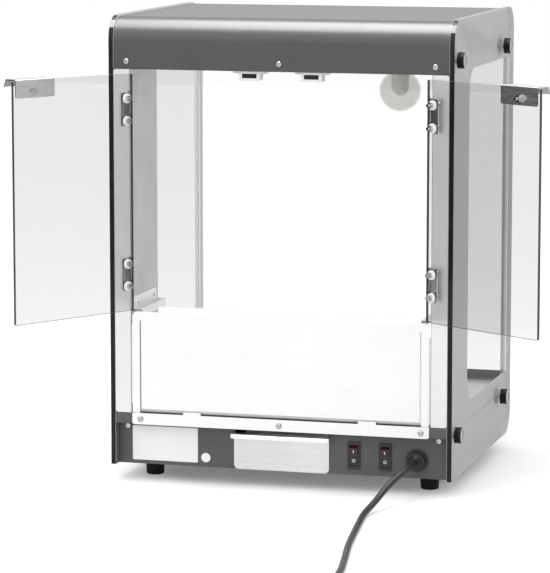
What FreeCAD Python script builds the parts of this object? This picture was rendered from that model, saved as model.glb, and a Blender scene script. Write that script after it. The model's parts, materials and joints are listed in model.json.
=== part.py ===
import FreeCAD, Part
import math
import os

os.makedirs("parts", exist_ok=True)
V = FreeCAD.Vector

# Chip warmer: a heated glass display cabinet with two glass doors on its service side.
# Millimetres, X to the right and Y into the depth as seen from the service side, Z up.
# Pieces are drawn from the middle of the service-side edge on the floor, and saved
# about the centre of the footprint. The doors stand open.

# Whole cabinet
cabinet_width = 440.0
cabinet_depth = 365.0
side_glass_height = 566.8
side_glass_thickness = 6.0
side_corner_radius = 30.0
foot_height = 21.2
sheet = 1.2
thin_sheet = 1.0
bend_radius = 1.0
fit_gap = 0.3
shaft_gap = 0.05
overrun = 5.0
shortest_edge = 0.01

# Levels: the cover hangs from the top, the sill and gate stand on the base
cover_drop = 2.1
cover_height = 64.3
sill_top_height = 67.3
sill_bottom_height = 52.8
gate_height = 129.1
skirt_top_height = 79.8

# Printed border of the side glass
print_thickness = 0.2
window_rear_margin = 116.0
window_top_margin = 66.5
window_bottom_margin = 80.6
window_corner_radius = 30.0

# Top cover and roof liner
cover_bend_radius = 27.0
cover_return_depth = 11.0
liner_rear_flange_height = 24.0
liner_side_flange_height = 34.0
liner_front_gap = 6.5
cover_screw_inset = 16.8
cover_screw_rise = 9.9

# Rear posts
post_width = 21.0
post_leg_depth = 112.5
post_return = 11.5
tab_reach = 9.0
tab_setback = 1.5
tab_rise = 11.5
tab_height = 100.0
post_corner_radius = 3.0

# Base panel and pan
panel_recess = 13.0
pan_return_width = 28.0
pan_front_margin = 34.0
pan_front_flange_height = 38.8
pan_ear_width = 22.0
pan_ear_bottom = 38.8
pan_ear_top = 51.6
panel_screw_inset = 12.0
panel_screw_height = 48.3

# Customer-side skirt, glass and corner strips
skirt_bend_radius = 28.8
skirt_ledge_depth = 12.0
skirt_ledge_drop = 10.0
front_glass_thickness = 4.0
front_glass_overlap = 9.0
strip_size = 6.0
strip_groove_depth = 3.0

# Deck plate
deck_thickness = 1.0
deck_slot_width = 4.0
deck_slot_length = 24.0
deck_slot_pitch_x = 12.0
deck_slot_pitch_y = 34.0
deck_field_width = 100.0
deck_field_start = 40.0
deck_field_margin = 53.0

# Side ledges
ledge_width = 13.5
ledge_length = 95.0
ledge_rise = 3.4
ledge_plate_height = 14.0
ledge_lip = 10.0
ledge_setback = 6.0
ledge_screw_places = (22.8, 92.1)
ledge_screw_rise = 5.5

# Sill strip
sill_end_gap = 1.0
sill_thickness = 1.0
sill_corner_radius = 3.0
sill_screw_inset = 10.5
sill_screw_rise = 6.5
sill_tab_inset = 79.5
sill_tab_width = 23.0
sill_tab_rise = 3.7
sill_tab_radius = 1.5

# Gate panel
gate_side_gap = 1.5
gate_thickness = 1.0
ear_width = 9.5
slit_width = 2.0
slit_top_drop = 11.2
gate_corner_radius = 6.0
gate_bottom_bend = 5.0
gate_bottom_depth = 9.0
lip_inset = 35.0
lip_depth = 5.0
lip_height = 6.7
hook_gap = 0.4
hook_foot_width = 8.0
hook_reach = 8.0
hook_inset = 2.0

# Crumb tray
tray_switch_gap = 23.9
tray_front_lap = 4.0
tray_front_height = 46.4
tray_front_radius = 6.0
tray_slot_height = 49.8
tray_front_margin = 38.3
tray_wall_height = 38.8
tray_side_gap = 1.2
pull_reach = 10.6
pull_drop = 6.0
pull_side_reach = 2.6
pull_corner_radius = 3.0
guide_height = 20.0
guide_margin = 20.0

# Doors, measured when closed
door_thickness = 4.0
door_middle_gap = 0.9
door_hinge_gap = 1.8
door_bottom_gap = 2.8
door_top_gap = 4.4
door_corner_radius = 2.0
left_door_angle = 121.0
right_door_angle = 146.6

# Hinges
hinge_axis_inset = 1.2
hinge_axis_out = 3.1
hinge_insets = (45.5, 44.5)
leaf_height = 41.0
leaf_thickness = 1.0
knuckle_radius = 2.7
knuckle_length = 13.5
pin_radius = 1.5
pin_head_radius = 2.3
pin_head_height = 0.8
leaf_clearance = 0.6
fixed_leaf_width = 14.6
door_leaf_width = 16.4
hinge_screw_spacing = 28.0
fixed_screw_place = 9.8
door_screw_place = 11.9
door_screw_radius = 1.95
door_screw_head_radius = 3.4
door_screw_head_height = 1.6
door_screw_tail = 4.2
door_glass_hole_radius = 2.6
washer_radius = 6.0
washer_thickness = 3.0
washer_round = 0.8
nut_height = 3.0
nut_radius = 3.9

# Door handle brackets
handle_length = 60.5
handle_plate_height = 21.2
handle_sheet = 1.2
handle_reach = 13.5
handle_lip = 9.0
handle_flare = 4.4
handle_edge_gap = 2.5
handle_bend = 1.0
handle_crease = 0.25
handle_corner_radius = 2.5
handle_screw_place = 28.5
handle_screw_drop = 13.0
handle_washer_radius = 5.0
handle_washer_thickness = 1.0
handle_nut_radius = 4.6
handle_nut_height = 3.8
handle_screw_tail = 4.2

# Magnet catches
catch_place = 39.5
catch_width = 27.0
catch_ear_width = 43.0
catch_screw_spacing = 36.4
catch_screw_length = 5.2
catch_ear_thickness = 2.0
catch_height = 11.8
catch_depth = 15.0
catch_front = 5.8
catch_round = 1.5
magnet_width = 18.0
magnet_height = 5.0
magnet_depth = 6.0

# Lamp
lamp_inset = 96.0
lamp_y = 150.0
globe_radius = 26.5
globe_wall = 2.0
globe_drop = 31.6
neck_radius = 17.0
rib_radius = 18.2
rib_height = 1.4
rib_pitch = 3.0
rib_count = 4
collar_radius = 22.0
collar_height = 7.5
collar_disc = 1.5
socket_radius = 13.5
socket_height = 33.0
bulb_cap_radius = 12.0
bulb_cap_height = 22.0
bulb_radius = 11.0
bulb_length = 28.0

# Heater, thermostat and terminal block
heater_radius = 3.25
heater_drop = 10.0
heater_tray_gap = 22.0
heater_start = 32.0
heater_front_margin = 26.0
heater_bend = 25.0
saddle_width = 12.0
saddle_length = 9.0
saddle_insets = (38.0, 70.0)
thermostat_inset = 83.5
thermostat_y = 150.0
thermostat_radius = 8.0
thermostat_height = 9.0
thermostat_flange = (26.0, 12.0, 1.5)
terminal_inset = 73.5
terminal_y = 90.0
terminal_size = (36.0, 20.0, 14.0)
terminal_hole_radius = 2.5
terminal_hole_depth = 6.0
terminal_pitch = 11.0

# Label and sticker
label_inset = 18.0
label_width = 86.0
label_bottom = 4.8
label_top = 48.8
label_thickness = 0.4
label_corner = 1.5
sticker_gap = 10.5
sticker_height = 11.8
sticker_radius = 6.0

# Rocker switches
switch_insets = {"lamp": 120.1, "heat": 80.1}
switch_height = 24.7
bezel_width = 15.8
bezel_height = 34.6
bezel_thickness = 2.0
bezel_round = 1.5
switch_body_width = 12.6
switch_body_height = 28.6
switch_body_depth = 22.0
switch_hole_gap = 0.3
pocket_width = 11.0
pocket_height = 26.0
pocket_depth = 14.0
rocker_width = 10.5
rocker_radius = 12.7
rocker_pivot_depth = 3.5
rocker_centre_rise = 3.6
rocker_back = 5.0
rocker_tilt = 10.0

# Cord gland
gland_inset = 40.0
gland_height = 22.3
gland_flange_radius = 14.0
gland_flange_depth = 3.0
gland_nut_radius = 11.5
gland_nut_depth = 5.5
gland_nose_radius = 9.0
gland_mouth_radius = 5.6
gland_thread_radius = 9.9
gland_thread_length = 10.0
locknut_radius = 14.0
locknut_height = 4.0
gland_rib_count = 12
gland_rib_radius = 0.8

# Thumb knobs on the right side glass, low screws on the left one
knob_rear_inset = 21.0
knob_front_inset = 60.0
knob_bottom_inset = 55.4
knob_top_inset = 49.2
knob_radius = 10.0
knob_washer_thickness = 3.2
knob_neck_radius = 9.2
knob_neck_length = 0.5
knob_length = 5.0
knob_round = 1.0
knob_recess_radius = 7.0
knob_recess_depth = 0.4
stud_radius = 2.95
stud_length = 16.3
stud_nut_radius = 5.5
stud_nut_height = 5.0
glass_hole_radius = 3.5
flange_hole_radius = 3.3
glass_screw_head_radius = 6.0
glass_screw_head_height = 2.4

# Feet
foot_inset_x = 40.0
foot_inset_y = 57.5
foot_top_radius = 12.5
foot_bottom_radius = 11.2
foot_round = 2.0
foot_bore_radius = 5.0
foot_bore_depth = 13.0
foot_screw_radius = 2.0
foot_screw_grip = 17.0

# Pan-head screws
screw_head_radius = 3.6
screw_head_height = 2.0
screw_radius = 1.7
screw_length = 8.0
small_head_radius = 2.4
small_head_height = 1.4
small_radius = 1.2
small_length = 4.0
recess_width_share = 0.28
recess_length_share = 1.15
recess_depth_share = 0.6

# Cord: radius, and the points of its free stretch from the gland mouth to the coil
cord_radius = 4.0
corner_share = 0.45
cord_points = (
    (173.5, 0.0, 43.5),
    (172.8, -24.0, 42.8),
    (166.0, -46.0, 37.0),
    (155.5, -68.0, 26.5),
    (145.5, -96.0, 10.5),
    (141.0, -130.0, 4.0),
    (148.0, -180.0, 4.0),
    (155.5, -235.0, 4.0),
    (165.0, -300.0, 4.0),
    (179.0, -372.0, 4.0),
    (190.5, -438.0, 4.0),
    (190.0, -497.0, 4.0),
    (190.0, -528.0, 4.0),
)

# Coil and plug
coil_outer_radius = 54.0
coil_gap = 0.6
coil_layer_half_turns = 4
tail_length = 48.0
relief_small_radius = 5.5
relief_large_radius = 8.0
relief_length = 28.0
plug_radius = 18.5
plug_length = 32.0
plug_neck_radius = 13.0
plug_round = 2.0
plug_pin_radius = 2.4
plug_pin_length = 19.0
plug_pin_spacing = 19.0

# Levels and faces worked out from the sizes above
half_width = cabinet_width / 2
side_inner = half_width - side_glass_thickness
metal_side = side_inner - print_thickness - fit_gap
base_z = foot_height
glass_top_z = base_z + side_glass_height
roof_z = glass_top_z - cover_drop
fascia_z = roof_z - cover_height
liner_z = fascia_z + sheet
step_z = base_z + sill_bottom_height
rim_z = base_z + sill_top_height
gate_top_z = rim_z + gate_height
ledge_z = gate_top_z + ledge_rise
tab_bottom = rim_z + tab_rise
tab_top = tab_bottom + tab_height
half_opening = metal_side - post_width
sill_tab_centre = half_opening - sill_tab_inset
hinge_x = half_opening - hinge_axis_inset
hinge_y = -hinge_axis_out
front_y = cabinet_depth
pan_front_y = front_y - pan_front_margin
door_low = gate_top_z + door_bottom_gap
door_top = fascia_z - door_top_gap
tray_front_half = metal_side - switch_insets["lamp"] - bezel_width / 2 - tray_switch_gap
tray_half = tray_front_half - tray_front_lap
lamp_x = metal_side - lamp_inset
gland_x = metal_side - gland_inset
to_centre = V(0, -cabinet_depth / 2, 0)
LEFT, RIGHT = -1, 1
ALONG_X, ALONG_Y, ALONG_Z = V(1, 0, 0), V(0, 1, 0), V(0, 0, 1)


def save(name, *pieces):
    whole = pieces[0] if len(pieces) == 1 else Part.makeCompound(list(pieces))
    whole = whole.copy()
    whole.translate(to_centre)
    whole.exportStep("parts/" + name + ".step")
    sound = whole.isValid() and all(s.Volume > 0 for s in whole.Solids)
    print("%-24s solids %2d  volume %9.0f  %s" % (name, len(whole.Solids), whole.Volume,
                                                  "ok" if sound else "BAD"))


def mirrored(shape):
    return shape.mirror(V(0, 0, 0), ALONG_X)


def handed(shape, side):
    return mirrored(shape) if side == LEFT else shape


def block(x0, x1, y0, y1, z0, z1):
    return Part.makeBox(x1 - x0, y1 - y0, z1 - z0, V(x0, y0, z0))


def rod(x, y, z, direction, length, radius):
    return Part.makeCylinder(radius, length, V(x, y, z), direction)


def hexagon(x, y, z, direction, length, radius):
    corners = [V(radius * math.cos(k * math.pi / 3), radius * math.sin(k * math.pi / 3), 0) for k in range(7)]
    bar = Part.Face(Part.makePolygon(corners)).extrude(V(0, 0, length))
    bar.Placement = FreeCAD.Placement(V(x, y, z), FreeCAD.Rotation(ALONG_Z, direction))
    return bar


def fused(first, *others):
    return first.fuse(list(others)).removeSplitter()


def on_x(x):
    return lambda y, z: V(x, y, z)


def on_y(y):
    return lambda x, z: V(x, y, z)


def on_z(z):
    return lambda x, y: V(x, y, z)


def prism(place, points, push):
    corners = [place(u, v) for u, v in points]
    return Part.Face(Part.makePolygon(corners + corners[:1])).extrude(push)


def plate(place, low, high, radii, push):
    """flat plate with its own radius at each corner, from the low corner round"""
    (u0, v0), (u1, v1) = low, high
    corners = ((u0, v0, 1, 1), (u1, v0, -1, 1), (u1, v1, -1, -1), (u0, v1, 1, -1))
    diagonal = math.sqrt(0.5)
    stops, edges = [], []
    for k, ((u, v, su, sv), r) in enumerate(zip(corners, radii)):
        along_v = place(u, v + sv * r)
        along_u = place(u + su * r, v)
        start, end = (along_v, along_u) if k % 2 == 0 else (along_u, along_v)
        if r > 0:
            middle = place(u + su * r * (1 - diagonal), v + sv * r * (1 - diagonal))
            edges.append(Part.Arc(start, middle, end).toShape())
        stops.append((start, end))
    for k in range(4):
        start, end = stops[k][1], stops[(k + 1) % 4][0]
        if (end - start).Length > shortest_edge:
            edges.append(Part.makeLine(start, end))
    return Part.Face(Part.Wire(Part.__sortEdges__(edges))).extrude(push)


def folded_sheet(place, points, thickness, side, radii, push):
    """sheet bent along a path; side 1 puts its thickness left of the path, -1 right"""
    near, far = [], []
    steps = []
    for (u0, v0), (u1, v1) in zip(points, points[1:]):
        size = math.hypot(u1 - u0, v1 - v0)
        steps.append(((u1 - u0) / size, (v1 - v0) / size))

    def across(point, step):
        return (point[0] - step[1] * thickness * side, point[1] + step[0] * thickness * side)

    near_end, far_end = points[0], across(points[0], steps[0])
    for corner, before, after, radius in zip(points[1:], steps, steps[1:], radii):
        turn = math.atan2(before[0] * after[1] - before[1] * after[0],
                          before[0] * after[0] + before[1] * after[1])
        inside = turn * side > 0
        near_radius = radius + thickness if inside else radius
        far_radius = radius if inside else radius + thickness
        reach = near_radius * math.tan(abs(turn) / 2)
        way = math.copysign(1, turn)
        a = (corner[0] - before[0] * reach, corner[1] - before[1] * reach)
        b = (corner[0] + after[0] * reach, corner[1] + after[1] * reach)
        c = (a[0] - before[1] * way * near_radius, a[1] + before[0] * way * near_radius)
        gap = math.hypot(corner[0] - c[0], corner[1] - c[1])
        out = ((corner[0] - c[0]) / gap, (corner[1] - c[1]) / gap)
        scale = far_radius / near_radius
        far_a = (c[0] + (a[0] - c[0]) * scale, c[1] + (a[1] - c[1]) * scale)
        far_b = (c[0] + (b[0] - c[0]) * scale, c[1] + (b[1] - c[1]) * scale)
        for edges, end, p, q, r in ((near, near_end, a, b, near_radius),
                                    (far, far_end, far_a, far_b, far_radius)):
            middle = place(c[0] + out[0] * r, c[1] + out[1] * r)
            edges.append(Part.makeLine(place(*end), place(*p)))
            edges.append(Part.Arc(place(*p), middle, place(*q)).toShape())
        near_end, far_end = b, far_b
    last_far = across(points[-1], steps[-1])
    near.append(Part.makeLine(place(*near_end), place(*points[-1])))
    far.append(Part.makeLine(place(*far_end), place(*last_far)))
    caps = [Part.makeLine(place(*points[-1]), place(*last_far))]
    caps.append(Part.makeLine(place(*points[0]), place(*across(points[0], steps[0]))))
    return Part.Face(Part.Wire(Part.__sortEdges__(near + far + caps))).extrude(push)


def rounded(shape, radius, test):
    return shape.makeFillet(radius, [edge for edge in shape.Edges if test(edge)])


def at_level(axis, value):
    """picks edges that lie wholly at one level of an axis"""
    def test(edge):
        box = edge.BoundBox
        low, high = {"x": (box.XMin, box.XMax), "y": (box.YMin, box.YMax), "z": (box.ZMin, box.ZMax)}[axis]
        return abs(low - value) < shaft_gap and abs(high - value) < shaft_gap
    return test


def screw(at, direction, head_radius, head_height, radius, length):
    """pan-head screw with a cross recess; its head starts at the given point and lies behind it"""
    head = Part.makeCylinder(head_radius, head_height, V(0, 0, -head_height))
    head = rounded(head, head_height / 2, at_level("z", -head_height))
    body = fused(head, Part.makeCylinder(radius, length))
    half_slot = head_radius * recess_width_share / 2
    half_cross = head_radius * recess_length_share / 2
    depth = head_height * recess_depth_share
    for u, v in ((half_slot, half_cross), (half_cross, half_slot)):
        body = body.cut(block(-u, u, -v, v, -head_height - depth, -head_height + depth))
    body.Placement = FreeCAD.Placement(V(*at), FreeCAD.Rotation(ALONG_Z, direction))
    return body


def pan_screw(at, direction):
    return screw(at, direction, screw_head_radius, screw_head_height, screw_radius, screw_length)


def small_screw(at, direction):
    return screw(at, direction, small_head_radius, small_head_height, small_radius, small_length)


def drilled(shape, places, direction, radius):
    """holes right through one wall, a little to each side of the given points"""
    for x, y, z in places:
        start = V(x, y, z) - direction * overrun
        shape = shape.cut(Part.makeCylinder(radius, 2 * overrun, start, direction))
    return shape


# Places that several pieces share
knob_places = [(y, z) for z in (base_z + knob_bottom_inset, glass_top_z - knob_top_inset)
               for y in (knob_rear_inset, front_y - knob_front_inset)]
cover_screws = [(k * (metal_side - cover_screw_inset), 0, fascia_z + cover_screw_rise) for k in (-1, 0, 1)]
sill_half = half_opening - sill_end_gap
sill_screws = [(k * (sill_half - sill_screw_inset), 0, step_z + sill_screw_rise) for k in (-1, 0, 1)]
panel_screws = [(side * (metal_side - panel_screw_inset), panel_recess, base_z + panel_screw_height)
                for side in (LEFT, RIGHT)]
ledge_screws = [(half_opening, y, ledge_z + ledge_screw_rise) for y in ledge_screw_places]
hinge_levels = [door_low + hinge_insets[0], door_top - hinge_insets[1]]
screw_levels = [z + way * hinge_screw_spacing / 2 for z in hinge_levels for way in (-1, 1)]
catch_screws = [(way * catch_place + end * catch_screw_spacing / 2, catch_front + catch_depth / 2)
                for way in (LEFT, RIGHT) for end in (-1, 1)]
feet_places = [(side * (half_width - foot_inset_x), y)
               for y in (foot_inset_y, cabinet_depth - foot_inset_y) for side in (LEFT, RIGHT)]


def make_side_glass():
    glass = plate(on_x(side_inner), (0, base_z), (cabinet_depth, glass_top_z),
                  (0, side_corner_radius, side_corner_radius, side_corner_radius),
                  ALONG_X * side_glass_thickness)
    return glass.cut(Part.makeCompound([rod(side_inner - overrun, y, z, ALONG_X,
                                            side_glass_thickness + 2 * overrun,
                                            glass_hole_radius) for y, z in knob_places]))


def make_side_print():
    start = side_inner - print_thickness
    film = plate(on_x(start), (0, base_z), (cabinet_depth, glass_top_z),
                 (0, side_corner_radius, side_corner_radius, side_corner_radius), ALONG_X * print_thickness)
    low = (window_rear_margin, base_z + window_bottom_margin)
    high = (cabinet_depth + overrun, glass_top_z - window_top_margin)
    window = plate(on_x(start - overrun), low, high, (window_corner_radius, 0, 0, window_corner_radius),
                   ALONG_X * (2 * overrun))
    film = film.cut(window)
    return drilled(film, [(start, y, z) for y, z in knob_places], ALONG_X, glass_hole_radius)


def make_top_cover():
    path = ((cover_return_depth, fascia_z), (0, fascia_z), (0, roof_z), (front_y, roof_z),
            (front_y, fascia_z))
    radii = (bend_radius, cover_bend_radius, cover_bend_radius)
    cover = folded_sheet(on_x(-metal_side), path, sheet, -1, radii, ALONG_X * (2 * metal_side))
    return drilled(cover, cover_screws, ALONG_Y, screw_radius + shaft_gap)


def make_roof_liner():
    rear = sheet
    front = front_y - liner_front_gap
    path = ((rear, liner_z + liner_rear_flange_height), (rear, liner_z), (front, liner_z),
            (front, liner_z + liner_rear_flange_height))
    inner = metal_side - sheet
    liner = folded_sheet(on_x(-inner), path, sheet, 1, (bend_radius, bend_radius), ALONG_X * (2 * inner))
    flanges = []
    for side in (LEFT, RIGHT):
        flange = block(inner, metal_side, rear + 2 * sheet, front, liner_z,
                       liner_z + liner_side_flange_height)
        flange = drilled(flange, [(inner, y, z) for y, z in knob_places[2:]], ALONG_X, flange_hole_radius)
        flanges.append(handed(flange, side))
    liner = fused(liner, *flanges)
    liner = drilled(liner, cover_screws, ALONG_Y, screw_radius + shaft_gap)
    liner = drilled(liner, [(x, y, liner_z) for x, y in catch_screws], ALONG_Z, small_radius + shaft_gap)
    return drilled(liner, [(lamp_x, lamp_y, liner_z)], ALONG_Z, socket_radius + fit_gap)


def make_rear_post():
    path = ((metal_side, 0), (half_opening, 0), (half_opening, post_leg_depth),
            (half_opening + post_return, post_leg_depth))
    post = folded_sheet(on_z(rim_z), path, sheet, -1, (bend_radius, bend_radius),
                        ALONG_Z * (fascia_z - rim_z))
    post = rounded(post, post_corner_radius,
                   lambda edge: at_level("x", metal_side)(edge) and edge.Length < 2 * sheet)
    tab = block(half_opening - tab_reach, half_opening + sheet, tab_setback, tab_setback + thin_sheet,
                tab_bottom, tab_top)
    post = fused(post, tab)
    leaf_screws = [(hinge_x + fixed_screw_place, 0, z) for z in screw_levels]
    for place in leaf_screws:
        post = post.cut(rod(place[0], -overrun, place[2], ALONG_Y, 2 * overrun, small_radius + shaft_gap))
    return drilled(post, ledge_screws, ALONG_X, small_radius + shaft_gap)


def make_base_panel():
    path = ((panel_recess, base_z), (panel_recess, step_z), (0, step_z), (0, rim_z),
            (panel_recess + sheet, rim_z))
    radii = (bend_radius, bend_radius, bend_radius)
    panel = folded_sheet(on_x(-metal_side), path, sheet, -1, radii, ALONG_X * (2 * metal_side))
    half_slot = tray_half + 2 * tray_side_gap
    panel = panel.cut(block(-half_slot, half_slot, panel_recess - overrun, panel_recess + overrun,
                            base_z - overrun, base_z + tray_slot_height))
    for x in [metal_side - inset for inset in switch_insets.values()]:
        wide = switch_body_width / 2 + switch_hole_gap
        tall = switch_body_height / 2 + switch_hole_gap
        panel = panel.cut(block(x - wide, x + wide, panel_recess - overrun, panel_recess + overrun,
                                base_z + switch_height - tall, base_z + switch_height + tall))
    panel = drilled(panel, [(gland_x, panel_recess, base_z + gland_height)], ALONG_Y,
                    gland_thread_radius + shaft_gap)
    panel = drilled(panel, sill_screws, ALONG_Y, screw_radius + shaft_gap)
    return drilled(panel, panel_screws, ALONG_Y, screw_radius + shaft_gap)


def make_base_pan():
    rear = panel_recess + sheet
    path = ((pan_return_width - metal_side, rim_z), (-metal_side, rim_z), (-metal_side, base_z),
            (metal_side, base_z), (metal_side, rim_z), (metal_side - pan_return_width, rim_z))
    radii = (bend_radius, bend_radius, bend_radius, bend_radius)
    pan = folded_sheet(on_y(rear), path, sheet, 1, radii, ALONG_Y * (pan_front_y - rear))
    floor_z = base_z + sheet
    front = block(bend_radius + 2 * sheet - metal_side, metal_side - 2 * sheet - bend_radius,
                  pan_front_y - sheet, pan_front_y, base_z, base_z + pan_front_flange_height)
    guide_x = tray_half + tray_side_gap
    extras = [front]
    for side in (LEFT, RIGHT):
        ear = block(metal_side - pan_ear_width, metal_side - sheet / 2, rear, rear + sheet,
                    base_z + pan_ear_bottom, base_z + pan_ear_top)
        guide = block(guide_x, guide_x + sheet, guide_margin, pan_front_y - guide_margin, base_z,
                      floor_z + guide_height)
        extras += [handed(ear, side), handed(guide, side)]
    pan = fused(pan, *extras)
    pan = drilled(pan, panel_screws, ALONG_Y, screw_radius + shaft_gap)
    for side in (LEFT, RIGHT):
        pan = drilled(pan, [(side * metal_side, y, z) for y, z in knob_places[:2]], ALONG_X,
                      flange_hole_radius)
    return drilled(pan, [(x, y, base_z) for x, y in feet_places], ALONG_Z, foot_screw_radius + shaft_gap)


def make_front_skirt():
    top = base_z + skirt_top_height
    path = ((pan_front_y, base_z + pan_front_flange_height), (pan_front_y, base_z), (front_y, base_z),
            (front_y, top))
    skirt = folded_sheet(on_x(-metal_side), path, sheet, 1, (bend_radius, skirt_bend_radius),
                         ALONG_X * (2 * metal_side))
    ledge = block(-metal_side, metal_side, front_y - skirt_ledge_depth, front_y - sheet / 2,
                  top - skirt_ledge_drop - sheet, top - skirt_ledge_drop)
    return fused(skirt, ledge)


def front_glass_span():
    outer = front_y - sheet - fit_gap
    return outer - front_glass_thickness, outer


def make_front_glass():
    inner, outer = front_glass_span()
    half = metal_side - strip_size + strip_groove_depth - fit_gap
    low = base_z + skirt_top_height - skirt_ledge_drop
    return block(-half, half, inner, outer, low, fascia_z + front_glass_overlap)


def make_front_strip():
    inner, outer = front_glass_span()
    depth = outer + fit_gap - strip_size
    low = base_z + skirt_top_height - skirt_ledge_drop
    bar = block(metal_side - strip_size, metal_side, depth, outer + fit_gap, low, liner_z - fit_gap)
    groove = block(metal_side - strip_size - overrun, metal_side - strip_size + strip_groove_depth,
                   inner - shaft_gap, outer + shaft_gap, low - overrun, liner_z + overrun)
    return bar.cut(groove)


def make_deck_plate():
    narrow = half_opening - 2 * fit_gap
    wide = metal_side - fit_gap
    rear = lip_depth + gate_thickness + fit_gap + lip_depth
    step = post_leg_depth + fit_gap
    front = front_y - strip_size - 2 * sheet
    points = ((-narrow, rear), (narrow, rear), (narrow, step), (wide, step), (wide, front), (-wide, front),
              (-wide, step), (-narrow, step))
    deck = prism(on_z(rim_z), points, ALONG_Z * deck_thickness)
    slots = []
    columns = int(deck_field_width / deck_slot_pitch_x)
    rows = int((front_y - deck_field_margin - deck_field_start) / deck_slot_pitch_y)
    for i in range(columns + 1):
        x = (i - columns / 2) * deck_slot_pitch_x
        for j in range(rows):
            y = deck_field_start + j * deck_slot_pitch_y
            half = deck_slot_width / 2
            slots.append(plate(on_z(rim_z - overrun), (x - half, y), (x + half, y + deck_slot_length),
                               (half,) * 4, ALONG_Z * (2 * overrun)))
    return deck.cut(Part.makeCompound(slots))


def make_side_ledge():
    wall = half_opening
    inner = half_opening - ledge_width
    under = ledge_z - thin_sheet
    path = ((wall, ledge_z + ledge_plate_height), (wall, under), (inner + thin_sheet, under),
            (inner + thin_sheet, under - ledge_lip + thin_sheet))
    ledge = folded_sheet(on_y(ledge_setback), path, thin_sheet, -1, (bend_radius / 2, bend_radius / 2),
                         ALONG_Y * ledge_length)
    return drilled(ledge, ledge_screws, ALONG_X, small_radius + shaft_gap)


def make_sill_strip():
    strip = plate(on_y(-sill_thickness), (-sill_half, step_z), (sill_half, rim_z),
                  (sill_corner_radius, sill_corner_radius, 0, 0),
                  ALONG_Y * sill_thickness)
    tab = plate(on_y(-sill_thickness), (sill_tab_centre - sill_tab_width / 2, rim_z - sill_tab_rise),
                (sill_tab_centre + sill_tab_width / 2, rim_z + sill_tab_rise),
                (0, 0, sill_tab_radius, sill_tab_radius), ALONG_Y * sill_thickness)
    strip = fused(strip, tab, mirrored(tab))
    return drilled(strip, sill_screws, ALONG_Y, screw_radius + shaft_gap)


def make_gate_panel():
    low = rim_z + fit_gap
    half = half_opening - gate_side_gap
    slit_outer = half - ear_width
    slit_inner = slit_outer - slit_width
    slit_z = gate_top_z - slit_top_drop
    push = ALONG_X * (2 * slit_inner)
    skin = folded_sheet(on_x(-slit_inner), ((gate_bottom_depth, low), (0, low), (0, slit_z)),
                        gate_thickness, -1, (gate_bottom_bend,), push)
    head = plate(on_y(0), (-half, slit_z), (half, gate_top_z), (0, 0, gate_corner_radius, gate_corner_radius),
                 ALONG_Y * gate_thickness)
    depth = lip_depth + gate_thickness
    lip_path = ((0, slit_z), (0, gate_top_z), (depth, gate_top_z), (depth, gate_top_z + lip_height))
    lip_half = half_opening - lip_inset
    lip = folded_sheet(on_x(-lip_half), lip_path, gate_thickness, -1, (bend_radius / 2, bend_radius / 2),
                       ALONG_X * (2 * lip_half))
    pieces = [head, lip]
    for side in (LEFT, RIGHT):
        ear = plate(on_y(0), (slit_outer, low), (half, slit_z), (bend_radius, bend_radius, 0, 0),
                    ALONG_Y * gate_thickness)
        back = tab_setback + thin_sheet + hook_gap
        foot_end = half_opening - tab_reach - hook_inset * 2
        foot = block(foot_end - hook_foot_width, foot_end, 0, back + gate_thickness, tab_bottom, slit_z)
        hook = block(foot_end - hook_foot_width, foot_end + hook_reach, back, back + gate_thickness,
                     tab_bottom, slit_z)
        pieces += [handed(piece, side) for piece in (ear, foot, hook)]
    return fused(skin, *pieces)


def make_tray_front():
    half = tray_front_half
    outer = panel_recess - fit_gap - sheet
    top = base_z + tray_front_height
    face = plate(on_y(outer), (-half, base_z), (half, top - sheet),
                 (tray_front_radius, tray_front_radius, 0, 0), ALONG_Y * sheet)
    wide = half + pull_side_reach
    path = ((outer + sheet, top - 2 * sheet - bend_radius * 2), (outer + sheet, top),
            (outer - pull_reach, top), (outer - pull_reach, top - pull_drop))
    pull = folded_sheet(on_x(-wide), path, sheet, 1, (bend_radius, bend_radius), ALONG_X * (2 * wide))
    keep = plate(on_z(base_z), (-wide, outer - pull_reach), (wide, outer),
                 (pull_corner_radius, pull_corner_radius, 0, 0), ALONG_Z * (2 * tray_front_height))
    behind = block(-half, half, outer - overrun, panel_recess, base_z, top)
    return fused(face, pull.common(keep.fuse(behind)))


def make_crumb_tray():
    half = tray_half
    rear = panel_recess - fit_gap
    low = base_z + sheet + fit_gap
    front = pan_front_y - tray_front_margin
    outer = block(-half, half, rear, front, low, low + tray_wall_height)
    inner = block(thin_sheet - half, half - thin_sheet, rear + thin_sheet, front - thin_sheet,
                  low + thin_sheet, low + tray_wall_height + overrun)
    return outer.cut(inner)


def make_magnet_catch(side):
    front = catch_front
    top = fascia_z
    half = catch_width / 2
    x = side * catch_place
    body = block(x - half, x + half, front, front + catch_depth, top - catch_height, top)
    body = rounded(body, catch_round, at_level("z", top - catch_height))
    ear = block(x - catch_ear_width / 2, x + catch_ear_width / 2, front + catch_round,
                front + catch_depth - catch_round, top - catch_ear_thickness, top)
    holes = [(hole_x, y, top) for hole_x, y in catch_screws]
    body = drilled(fused(body, ear), holes, ALONG_Z, small_radius + shaft_gap)
    wide, tall = magnet_width / 2 + fit_gap, magnet_height / 2 + fit_gap
    middle = top - catch_height / 2
    pocket = block(x - wide, x + wide, front - overrun, front + magnet_depth + fit_gap, middle - tall,
                   middle + tall)
    magnet = block(x - magnet_width / 2, x + magnet_width / 2, front + shaft_gap, front + magnet_depth,
                   middle - magnet_height / 2, middle + magnet_height / 2)
    return body.cut(pocket), magnet


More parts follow.
